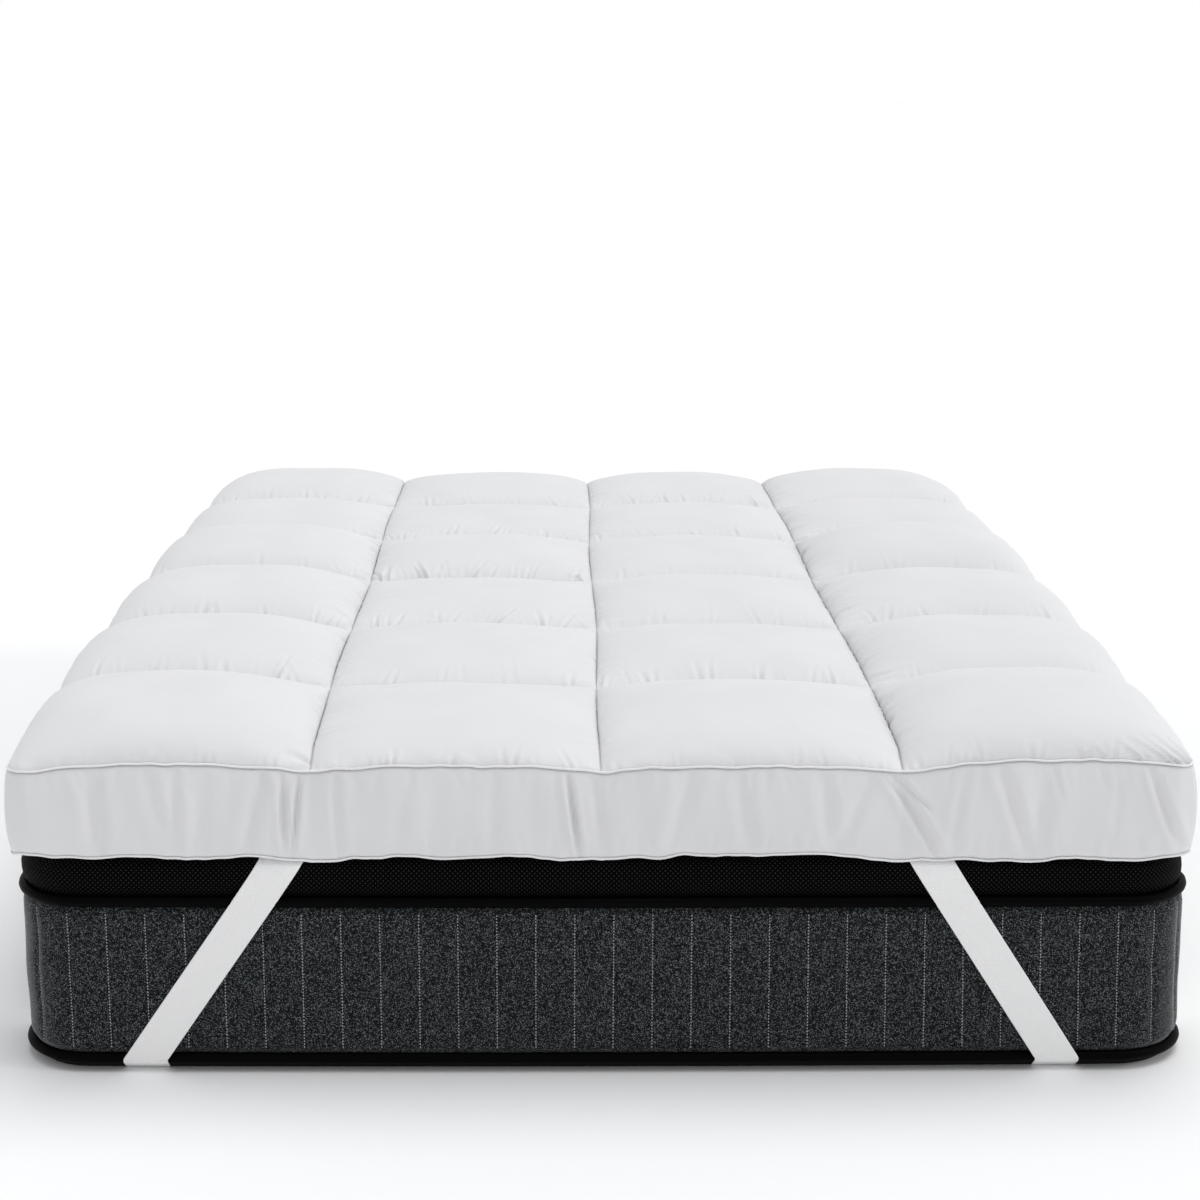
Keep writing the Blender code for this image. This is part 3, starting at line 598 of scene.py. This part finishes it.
def wallRelief(ring, length, total, level):
    # ring (n, 3) of the top seam, length (n,) around it; returns how far the wall moves out at that level
    rng = np.random.default_rng(wallFolds["seed"])
    relief = np.zeros(len(ring))
    swell = math.sin(math.pi * min(max(level, 0.0), 1.0)) ** 0.6
    isFoot = ring[:, 1] < -halfLength + wallFolds["footReach"]
    for topX, lowX, depth, width, reach in wallFolds["foot"]:
        fade = swell * max(0.0, 1 - level / reach) ** 0.5
        relief += isFoot * (depth * foldProfile(ring[:, 0] - blend(topX, lowX, level), width)) * fade
    for place in spread(total, wallFolds["spacing"], wallFolds["gaps"], rng):
        depth, width = rng.uniform(*wallFolds["depth"]), rng.uniform(*wallFolds["width"])
        lean = rng.normal(0.0, wallFolds["lean"])
        top, low = rng.uniform(*wallFolds["share"]), rng.uniform(*wallFolds["share"])
        distance = np.abs(length - place - lean * level)
        distance = np.minimum(distance, total - distance)
        relief += depth * foldProfile(distance, width) * swell * blend(top, low, level)
    shortLow = wallFolds["shortLow"]
    for fade in (1 - level / wallFolds["shortTop"], (level - shortLow) / (1 - shortLow)):
        for place in spread(total, wallFolds["shortSpacing"], wallFolds["shortGaps"], rng):
            strength = wallFolds["shortDepth"] * rng.uniform(*wallFolds["shortShare"])
            width = rng.uniform(*wallFolds["shortWidth"])
            lean = rng.normal(0.0, wallFolds["shortLean"]) * wallFolds["wallHeight"] * min(level, 1 - level)
            if fade > 0:
                relief += strength * foldProfile(np.abs(length - place - lean), width) * swell * fade ** 0.7
    return relief


def quiltSurface():  # the whole quilted top as a grid of points, with its cloth coordinates
    across, along = cuts(topper["columns"], topper["pointsAcross"]), cuts(topper["rows"], topper["pointsAlong"])
    s, t = [part.ravel() for part in np.meshgrid(across, along, indexing="ij")]
    smooth = quiltedTop(s, t).reshape(len(across), len(along), 3)
    seamsS = [topper["pointsAcross"] * number for number in range(topper["columns"] + 1)]
    seamsT = [topper["pointsAlong"] * number for number in range(topper["rows"] + 1)]
    top, lengthS, lengthT = puckeredTop(smooth, seamsS, seamsT)
    return top, np.stack([lengthS, lengthT], -1), seamsS, seamsT


def buildColumn(name, top, grain):  # one column of boxes, closed by a hidden rim and a flat underside
    number = numbered(*top.shape[:2])
    # the outline's point numbers, counter-clockwise from the left end of the foot
    ring = np.concatenate([number[:-1, 0], number[-1, :-1], number[:0:-1, -1], number[0, :0:-1]])
    edge = top.reshape(-1, 3)[ring]
    rim = edge - outwardOf(edge) * topper["skirtInset"]
    under = rim.copy()
    rim[:, 2] -= topper["skirtTop"]
    under[:, 2] = topper["topSeamZ"] - topper["skirtDrop"]
    skirt = np.array([ring, number.size + np.arange(len(ring)), number.size + len(ring) + np.arange(len(ring))])
    grids = [(number, grain), (closed(skirt, 1), closed(np.stack([grain.reshape(-1, 2)[ring]] * 3), 1))]
    return gridPiece(name, np.vstack([top.reshape(-1, 3), rim, under]), grids, topperCloth, [skirt[2, ::-1]])


def wallRing():  # places round the outline, as columns and rows of boxes, evenly spaced along the cloth
    columns, rows = topper["columns"], topper["rows"]
    fine = np.linspace(0, 1, 4001)[:-1]
    flat = 0 * fine
    s = np.concatenate([columns * fine, columns + flat, columns * (1 - fine), flat])
    t = np.concatenate([flat, rows * fine, rows + flat, rows * (1 - fine)])
    length = runLength(closed(quiltedTop(s, t)))
    at = np.linspace(0, length[-1], wall["points"], endpoint=False)
    place = np.interp(at, length, np.arange(len(length)))
    before = place.astype(int) % len(s)
    after = (before + 1) % len(s)
    jump = np.maximum(np.abs(s[after] - s[before]), np.abs(t[after] - t[before])) > 0.5
    share = np.where(jump, 0.0, place - place.astype(int))
    return blend(s[before], s[after], share), blend(t[before], t[after], share)


def buildWall():
    s, t = wallRing()
    edge, plan = quiltedTop(s, t), roundedPlan(s, t)
    outward = outwardOf(plan)
    length = runLength(closed(edge))
    total, count = length[-1], len(s)
    onEnd = (t == 0) | (t == topper["rows"])
    pull = np.where(onEnd, seamPull(s, topper["columns"]), seamPull(t, topper["rows"]))
    column = boxOf(s, topper["columns"])
    lift = np.where(t == 0, np.array(wall["lowLifts"])[column] * crowned(s - column, "crossShape"), 0.0)
    low = np.column_stack([plan, np.zeros(count)]) + outward * wall["lowSeamOut"]
    turn = 2 * np.pi * length[:-1] / total
    ripple = sum(share * np.sin(waves * turn + sway * np.sin(slow * turn))
                 for share, waves, sway, slow in wall["hemRipples"])
    low[:, 2] = topper["bottomZ"] + lift - topper["seamDip"] * pull + wall["hemWave"] * (ripple + 0.5)
    low[:, 2] += unevenness(low[:, 0], low[:, 1], 1.0)
    inner = edge - outward * wall["rimInset"]
    trench = inner.copy()
    trench[:, 2] = topper["topSeamZ"] - wall["rimDrop"]
    inner[:, 2] -= wall["rimTop"]
    flat = low - outward * wall["flatIn"]
    flat[:, 2] = topper["bottomZ"]
    rings = [trench, inner]
    for level in np.arange(wall["levels"] + 1) / wall["levels"]:
        swell = max(0.0, 1 - (2 * level - 1) ** 2) ** wall["roundness"]
        out = blend(wall["bulge"], wall["bulgeAtSeam"], pull) * swell
        out = out + wallRelief(edge, length[:-1], total, level)
        rings.append(blend(edge, low, level) + outward * out[:, None])
    rings = np.array(rings + [flat])
    number, down = numbered(len(rings), count), closed(runLength(rings), 1)
    grain = np.stack([np.broadcast_to(length, down.shape), -down], -1)
    piece = gridPiece("topperWall", rings, [(closed(number, 1), grain)], topperCloth, [number[0], number[-1, ::-1]])
    return piece, edge, low, outward


topGrid, topGrain, seamCutsS, seamCutsT = quiltSurface()
topperPieces = [buildColumn("quiltColumn" + str(number), topGrid[first:last + 1], topGrain[first:last + 1])
                for number, (first, last) in enumerate(zip(seamCutsS, seamCutsS[1:]), 1)]
topperWall, topSeam, lowSeam, seamOutward = buildWall()
topperPieces.append(topperWall)
for piece in topperPieces:
    fitPiece(piece, "topper_cloth", "topper_body")
print("topper made:", sum(len(piece.data.polygons) for piece in topperPieces), "faces")

topperPiping = {"radius": 0.0016, "outset": 0.0009, "offsetZ": 0.0009, "sides": 8}
for pieceName, nodeName, seam, lift in (
        ("topperTopPiping", "topper_top_piping", topSeam, topperPiping["offsetZ"]),
        ("topperBottomPiping", "topper_bottom_piping", lowSeam, -topperPiping["offsetZ"])):
    line = (seam + seamOutward * topperPiping["outset"] + np.array([0.0, 0.0, lift]))[::2]
    piping = cordLoop(pieceName, line, seamOutward[::2], topperPiping["radius"], topperPiping["sides"], biasCloth)
    fitPiece(piping, "topper_piping", nodeName)

# Lockstitch along every quilting seam.
quilting = {"pitch": 0.0042, "length": 0.0031, "width": 0.0009, "height": 0.0005}


def stitchLine(line, pitch):  # even places along a line of points, with the direction there
    length = runLength(line)
    at = np.arange(pitch / 2, length[-1], pitch)
    places, ahead = [np.column_stack([np.interp(at + shift, length, line[:, axis]) for axis in range(3)])
                     for shift in (0.0, pitch / 4)]
    return places, unit(ahead - places)


seamLines = [topGrid[cut] for cut in seamCutsS[1:-1]] + [topGrid[:, cut] for cut in seamCutsT[1:-1]]
seamPlaces, seamDirections = [np.vstack(part) for part in zip(*[stitchLine(line, quilting["pitch"])
                                                                for line in seamLines])]
upward = np.tile([0.0, 0.0, 1.0], (len(seamPlaces), 1))
fitPiece(stitchPiece("quiltStitches", seamPlaces, seamDirections, upward, quilting, whiteThread), "topper_cloth")
print("quilting stitched:", len(seamPlaces), "stitches")

mattress = {
    "height": 0.291, "cornerRadius": 0.09, "bow": 0.006,
    "midSeamZ": 0.232, "lowSeamZ": 0.018,
    "cornerPoints": 36, "sidePoints": 150,
    # inset and height above or below a seam, where the cloth rolls in to it, and the same at the top edge
    "seamEdge": ((0.011, 0.0004), (0.006, 0.0065), (0.0015, 0.014), (0.0, 0.024)),
    "topEdge": ((0.0, 0.027), (0.0032, 0.0145), (0.010, 0.0062), (0.019, 0.0016), (0.028, 0.0)),
    "borderLevels": 18, "bandLevels": 2, "edgeLevels": 3,  # in the flat middle, and between the places above
    "panelEdge": ((0.016, 0.0), (0.0125, 0.0012), (0.011, 0.005)),
    "stitchPitch": 0.0498, "stitchPhase": 0.0128,  # lines sewn down the border
    "grooveDepth": 0.0026, "grooveWidth": 0.0045,
    "lineLean": 0.010, "leanReach": 0.1,  # the lines at the foot lean out on the right
    "waves": ((0.0007, 7, 9), (0.0005, 23, -14)),  # size, waves around, turn between the seams: clear of the straps
    "swell": 0.0007,
    "pipingRadius": 0.0070, "pipingInset": 0.0022, "pipingSides": 12,
    "cornerFlare": {"mid": 0.007, "low": 0.012, "reach": 0.050},  # how far the right corners stand out
}
low, mid, height = mattress["lowSeamZ"], mattress["midSeamZ"], mattress["height"]


def mattressOutline(inset):  # the plan outline, counter-clockwise from the right end of the foot
    radius = mattress["cornerRadius"] - inset
    middle = bed - mattress["cornerRadius"]
    points, arcs = [], []
    for side, end, start in ((1, -1, -90), (1, 1, 0), (-1, 1, 90), (-1, -1, 180)):
        angles = np.radians(start + 90 * np.arange(mattress["cornerPoints"] + 1) / mattress["cornerPoints"])
        arcs.append(middle * (side, end) + radius * np.column_stack([np.cos(angles), np.sin(angles)]))
    share = np.arange(1, mattress["sidePoints"])[:, None] / mattress["sidePoints"]
    for arc, nextArc in zip(arcs, arcs[1:] + arcs[:1]):
        points += [arc, blend(arc[-1], nextArc[0], share)]
    points = np.vstack(points)
    return points - mattress["bow"] * points / bed * (points / bed)[:, ::-1] ** 2


outline = mattressOutline(0.0)
outlineOut = outwardOf(outline)
outlineLength = runLength(closed(outline))
around = outlineLength[-1]


def borderLevel(z):  # 0 at the border's lower seam and 1 at its upper
    return min(max((z - low) / (mid - low), 0.0), 1.0)


def cornerFlare(z):  # outward move at that height, of the border and its pipings, at the right corners
    flare = mattress["cornerFlare"]
    straight = bed - mattress["cornerRadius"] - np.abs(outline)
    fromCorner = np.hypot(*np.maximum(0.0, straight).T)
    share = ease(1 - fromCorner / flare["reach"]) * np.maximum(0.0, outlineOut[:, 0]) ** 2
    return share * blend(flare["low"], flare["mid"], borderLevel(z))


def bandFlare(z):  # and of the band, which stands upright again at its top
    return cornerFlare(z) * max(0.0, 1 - (z - mid) / (height - mid))


def levelRing(inset, z, move):
    return np.column_stack([mattressOutline(inset), np.full(len(outline), z)]) + outlineOut * move[:, None]


def stackedPiece(name, levels, material, relief):  # a closed body through (inset, z) levels, given upwards
    rings = np.array([levelRing(inset, z, relief(z)) for inset, z in levels])
    down = closed(runLength(rings), 1)
    grain = np.stack([np.broadcast_to(outlineLength, down.shape), down], -1)
    number = numbered(*rings.shape[:2])  # from the top, so that the faces look outward
    return gridPiece(name, rings[::-1], [(closed(number, 1), grain[::-1])], material, [number[0], number[-1, ::-1]])


def smoothLevels(levels, middle):  # finer levels between the given ones
    fine = []
    for at, (start, end) in enumerate(zip(levels, levels[1:])):
        count = middle if at == len(mattress["seamEdge"]) - 1 else mattress["edgeLevels"]
        fine += [blend(np.array(start), np.array(end), step / count) for step in range(count)]
    return fine + [levels[-1]]


# distances around the outline where a line is sewn down the border, at its top, and how far each leans
middleOfFoot = around - outline[0, 0]  # the foot closes the loop
lineCount = round(around / mattress["stitchPitch"])
borderPlaces = (middleOfFoot + mattress["stitchPhase"] + around / lineCount * np.arange(lineCount)) % around
placesX, placesY = [np.interp(borderPlaces, outlineLength, closed(outline[:, axis])) for axis in (0, 1)]
borderLean = mattress["lineLean"] * np.clip(placesX / bed[0], 0, 1)
borderLean *= placesY < -bed[1] + mattress["leanReach"]


def linePlaces(z):
    return borderPlaces + borderLean * (1 - borderLevel(z))


def borderRelief(z):  # a groove at each sewn line, and slow waves between them
    length, share = outlineLength[:-1], borderLevel(z)
    distance = np.min(np.abs((length[:, None] - linePlaces(z) + around / 2) % around - around / 2), axis=1)
    relief = -mattress["grooveDepth"] * hump(distance, mattress["grooveWidth"]) + mattress["swell"]
    relief += sum(size * np.sin(2 * np.pi * waves * length / around + turn * share)
                  for size, waves, turn in mattress["waves"])
    return relief * math.sin(math.pi * share) ** 0.5 + cornerFlare(z)


def edgeAt(z, edge, way):  # levels of a rolled edge, above or below that height
    return [(inset, z + way * rise) for inset, rise in edge]


seamEdge = mattress["seamEdge"]
borderLevels = smoothLevels(edgeAt(low, seamEdge, 1) + edgeAt(mid, seamEdge[::-1], -1), mattress["borderLevels"])
bandLevels = smoothLevels(edgeAt(mid, seamEdge, 1) + edgeAt(height, mattress["topEdge"], -1), mattress["bandLevels"])
panelLevels = edgeAt(0.0, mattress["panelEdge"], 1) + edgeAt(low, seamEdge[:1], -1)
border = stackedPiece("mattressBorder", borderLevels, marledJersey, borderRelief)
band = stackedPiece("mattressTopBand", bandLevels, spacerMesh, bandFlare)
bottomPanel = stackedPiece("mattressBottomPanel", panelLevels, spunbondedCloth, cornerFlare)
fitPiece(border, "border_cloth", "mattress_border")
fitPiece(band, "mesh_band", "mattress_top_band")
fitPiece(bottomPanel, "bottom_cloth", "mattress_bottom_panel")
for pieceName, nodeName, z in (("mattressMidPiping", "mattress_mid_piping", mid),
                               ("mattressLowPiping", "mattress_low_piping", low)):
    line = levelRing(mattress["pipingInset"], z, cornerFlare(z))
    piping = cordLoop(pieceName, line, outlineOut, mattress["pipingRadius"], mattress["pipingSides"], twillTape)
    fitPiece(piping, "mattress_piping", nodeName)

# Sewn lines of the border: pale stitches that lie just out of the cloth.
borderStitch = {"pitch": 0.0042, "length": 0.0025, "width": 0.0013, "height": 0.0007, "out": 0.0001, "clear": 0.016}
lineLevels = np.arange(low + borderStitch["clear"], mid - borderStitch["clear"], borderStitch["pitch"])
linePoints = np.empty((lineCount, len(lineLevels), 3))
lineOut = np.zeros_like(linePoints)
for row, z in enumerate(lineLevels):
    loop = closed(np.column_stack([outline, borderRelief(z), outlineOut[:, :2]]))
    x, y, out, outX, outY = [np.interp(linePlaces(z) % around, outlineLength, line) for line in loop.T]
    out += borderStitch["out"]
    linePoints[:, row] = np.column_stack([x + outX * out, y + outY * out, np.full(lineCount, z)])
    lineOut[:, row, :2] = np.column_stack([outX, outY])
lineDirections = unit(np.gradient(linePoints, axis=1))
borderStitches = stitchPiece("borderStitches", linePoints.reshape(-1, 3), lineDirections.reshape(-1, 3),
                             lineOut.reshape(-1, 3), borderStitch, greyThread)
fitPiece(borderStitches, "border_cloth")
print("mattress made:", lineCount, "sewn lines")

straps = {
    "each": (  # piece, solid, side, end, and |x| of the middle at the topper and at the bottom of the mattress
        ("strapFootLeft", "strap_foot_left", -1, -1, 0.407, 0.590),
        ("strapFootRight", "strap_foot_right", 1, -1, 0.415, 0.590),
        ("strapHeadLeft", "strap_head_left", -1, 1, 0.425, 0.604),
        ("strapHeadRight", "strap_head_right", 1, 1, 0.425, 0.604),
    ),
    "halfSpan": 0.029, "thickness": 0.0015, "startInset": 0.018, "sag": 0.0015,
    "topSteps": 7, "wrapSteps": 8, "undersideInset": 0.0134, "undersideSteps": 10, "runSteps": 14,
    "pipingRadius": 0.006, "pipingInset": 0.0028, "gap": 0.0003,
    "across": (  # places across the band, and how full it is there: its edges are rounded
        (0.0, 0.5), (0.012, 0.93), (0.04, 1.0), (0.35, 1.0), (0.65, 1.0), (0.96, 1.0), (0.988, 0.93), (1.0, 0.5)),
}


def strapBed():  # outset and height of what half a strap lies on, from its top end
    insets, drops = zip(*mattress["topEdge"])
    start = straps["startInset"] * np.linspace(1, 0, straps["topSteps"])
    line = [(-inset, height - np.interp(inset, insets, drops)) for inset in start]
    face = straps["pipingRadius"] - straps["pipingInset"]
    line += [(face * share, blend(line[straps["topSteps"] - 1][1], mid, share)) for share in (0.3, 0.65)]
    line += [(face - straps["sag"] * math.sin(math.pi * share), blend(mid, low, share))
            for share in np.linspace(0, 1, straps["runSteps"])]
    centre = np.array([-straps["pipingInset"], low])
    landing = np.array([-straps["undersideInset"], straps["thickness"] + 2 * straps["gap"]])
    away = landing - centre
    wrapEnd = math.atan2(-away[1], away[0]) - math.acos(straps["pipingRadius"] / np.linalg.norm(away))
    for step in range(1, straps["wrapSteps"] + 1):
        angle = wrapEnd * step / straps["wrapSteps"]
        line.append(centre + straps["pipingRadius"] * np.array([math.cos(angle), -math.sin(angle)]))
    return np.array(line + [landing])


def movedOut(line, distance):
    ahead = unit(np.diff(np.vstack([line, line[-1] + [-1.0, 0.0]]), axis=0))
    before = np.vstack([ahead[:1], ahead[:-1]])
    outA, outB = [np.column_stack([-part[:, 1], part[:, 0]]) for part in (before, ahead)]
    return line + distance * (outA + outB) / (1 + np.sum(outA * outB, 1))[:, None]


def strapEdges(side, end, topX, lowX, distance):  # the two edge lines of a strap's face, each (n, 3)
    line = strapBed()
    out, z = movedOut(line, distance).T
    share = np.clip((line[0, 1] - line[:, 1]) / (line[0, 1] - low), 0, 1)
    middle = bed[0] - blend(topX, lowX, share)
    underShare = np.arange(1, straps["undersideSteps"])[:, None] / straps["undersideSteps"]
    edges = []
    for span in (-straps["halfSpan"], straps["halfSpan"]):
        plan = (side, end) * (bed - (middle + span)[:, None])
        faceX, faceY = (bed - mattress["bow"] * (plan / bed)[:, ::-1] ** 2 + out[:, None]).T
        onEnd = np.column_stack([plan[:, 0], end * faceY, z])
        onSide = np.column_stack([side * faceX, plan[:, 1], z])
        edges.append(np.vstack([onEnd, blend(onEnd[-1], onSide[-1], underShare), onSide[::-1]]))
    return edges


def buildStrap(name, side, end, topX, lowX):
    inner = strapEdges(side, end, topX, lowX, straps["gap"])
    outer = strapEdges(side, end, topX, lowX, straps["gap"] + straps["thickness"])
    section = []
    for first, second, part in ((inner, outer, straps["across"]), (outer, inner, straps["across"][-2:0:-1])):
        section += [blend(blend(*first, share), blend(*second, share), full) for share, full in part]
    points = np.array(section)  # (around, along, 3)
    middle, spans = (outer[0] + outer[1]) / 2, outer[1] - outer[0]
    direction = unit(np.gradient(middle, axis=0))
    width = np.linalg.norm(np.cross(spans, direction), axis=1)  # at right angles to the run of the strap
    length = runLength(middle)
    across = unit(np.cross(np.cross(direction, spans), direction))
    fromMiddle = points - middle
    grain = [np.sum(fromMiddle * across, -1), length + np.sum(fromMiddle * direction, -1)]
    grain = np.stack(grain, -1)
    number = numbered(*points.shape[:2])
    grid, caps = (closed(number), closed(grain)), [number[::-1, 0], number[:, -1]]
    if side * end > 0:  # a mirrored strap turns its faces over
        grid, caps = [part[::-1] for part in grid], [cap[::-1] for cap in caps]
    piece = gridPiece(name, points, [grid], wovenElastic, caps)
    return piece, float(np.median(width)), float(length[-1])


for pieceName, nodeName, *place in straps["each"]:
    piece, width, length = buildStrap(pieceName, *place)
    fitPiece(piece, "strap_elastic", nodeName)
    print(pieceName, "width", round(width, 4), "length", round(length, 3))

studio = {
    "floorSize": 400.0, "floorColour": "#FAFAFA",
    "skyLow": "#FFFFFF", "skyHigh": "#BEBFC1", "skyTurn": (0.13, 0.30), "skyStrength": 1.0,  # a bright rim low down
    "softSun": {"turn": (-9.0, 10.0), "spread": 44.0, "strength": 1.50},  # a wide bank of lights overhead
    "sideSun": {"turn": (8.0, 62.0), "spread": 14.0, "strength": 0.45},  # low, from the right
}
floorMaterial = newMaterial("studioFloor", Roughness=0.9, Base_Color=linearColour(studio["floorColour"]))[0]
half = studio["floorSize"] / 2
floorCorners = [(-half, -half, 0.0), (half, -half, 0.0), (half, half, 0.0), (-half, half, 0.0)]
makePiece("floor", floorCorners, [(0, 1, 2, 3)], floorMaterial)

world = bpy.data.worlds.new("studioSky")
bpy.context.scene.world = world
world.use_nodes = True
sky, background = world.node_tree, world.node_tree.nodes["Background"]
skyHeight = addNode(sky, "SeparateXYZ", {"Vector": addNode(sky, "TexCoord", {}, "Generated")}, "Z")
lowest, highest = studio["skyTurn"]
skyShare = addNode(sky, "MapRange", {"Value": skyHeight, "From Min": lowest, "From Max": highest})
skyColour = addNode(sky, "Mix", {0: skyShare, 6: studio["skyLow"], 7: studio["skyHigh"]})
sky.links.new(skyColour, background.inputs["Color"])
background.inputs["Strength"].default_value = studio["skyStrength"]

for lightName in ("softSun", "sideSun"):
    values = studio[lightName]
    light = bpy.data.lights.new(lightName, "SUN")
    light.energy, light.angle = values["strength"], math.radians(values["spread"])
    newObject(lightName, light).rotation_euler = [math.radians(angle) for angle in values["turn"]] + [0.0]

# The photo's camera: its place, and how far it looks down and to the right, in degrees.
view = {"lens": 64.78, "sensor": 36.0, "place": (-0.0561, -3.6001, 1.2414),
        "down": 13.3408, "right": 1.0805, "roll": 0.3514}
cameraData = bpy.data.cameras.new("camera")
cameraData.lens, cameraData.sensor_width = view["lens"], view["sensor"]
camera = newObject("camera", cameraData)
camera.matrix_world = (Matrix.Translation(view["place"])
                       @ Matrix.Rotation(-math.radians(view["right"]), 4, "Z")
                       @ Matrix.Rotation(math.radians(90 - view["down"]), 4, "X")
                       @ Matrix.Rotation(math.radians(view["roll"]), 4, "Z"))
bpy.context.scene.camera = camera
bpy.context.scene.view_settings.view_transform = "Standard"
